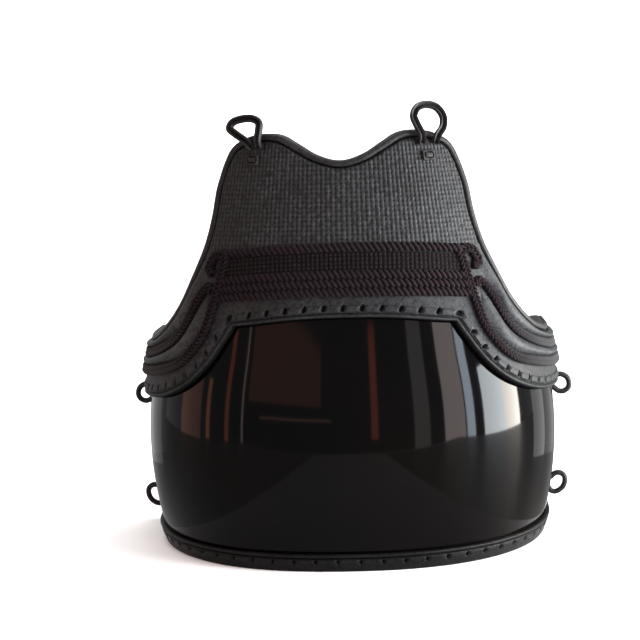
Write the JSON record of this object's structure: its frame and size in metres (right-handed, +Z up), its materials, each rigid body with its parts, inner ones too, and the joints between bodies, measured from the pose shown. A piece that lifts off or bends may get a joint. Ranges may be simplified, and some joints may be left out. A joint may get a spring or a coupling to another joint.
{
  "type": "kendo do chest protector",
  "caption": "Chest protector with a glossy moulded body, a padded leather chest with corded wings, laced edges and leather tie loops.",
  "frame": {"origin": "under the middle of the whole part, on the level that the hem's flat underside stands on", "axes": "+X to the right of a viewer who faces the front, -Y out of the front of the chest, +Y to the open back, +Z up"},
  "size_m": [0.4428, 0.258, 0.4175],
  "materials": {
    "shell_lacquer": "mirror-gloss black lacquer",
    "chest_leather": "charcoal stitched leather",
    "edge_leather": "black leather",
    "braid": "near-black braided cord"
  },
  "bodies": {
    "root": {"body_shell": "shell_lacquer", "hem_edging": "edge_leather", "hem_lace": "edge_leather", "chest_pad": "chest_leather", "rim_binding": "edge_leather", "pad_bead": "chest_leather", "chest_lace": "chest_leather", "band_top_cord": "braid", "band_stitch_panel": "braid", "band_braid_1": "braid", "band_braid_2": "braid", "band_braid_3": "braid", "wing_cord_left": "braid", "wing_branch_left": "braid", "inner_rib_left": "chest_leather", "outer_rib_left": "chest_leather", "shoulder_stub_left": "edge_leather", "wing_cord_right": "braid", "wing_branch_right": "braid", "inner_rib_right": "chest_leather", "outer_rib_right": "chest_leather", "shoulder_stub_right": "edge_leather", "shoulder_loop_left": "edge_leather", "shoulder_loop_right": "edge_leather", "side_loop_upper_left": "edge_leather", "side_loop_upper_right": "edge_leather", "side_loop_lower_left": "edge_leather", "side_loop_lower_right": "edge_leather"}
  },
  "joints": []
}
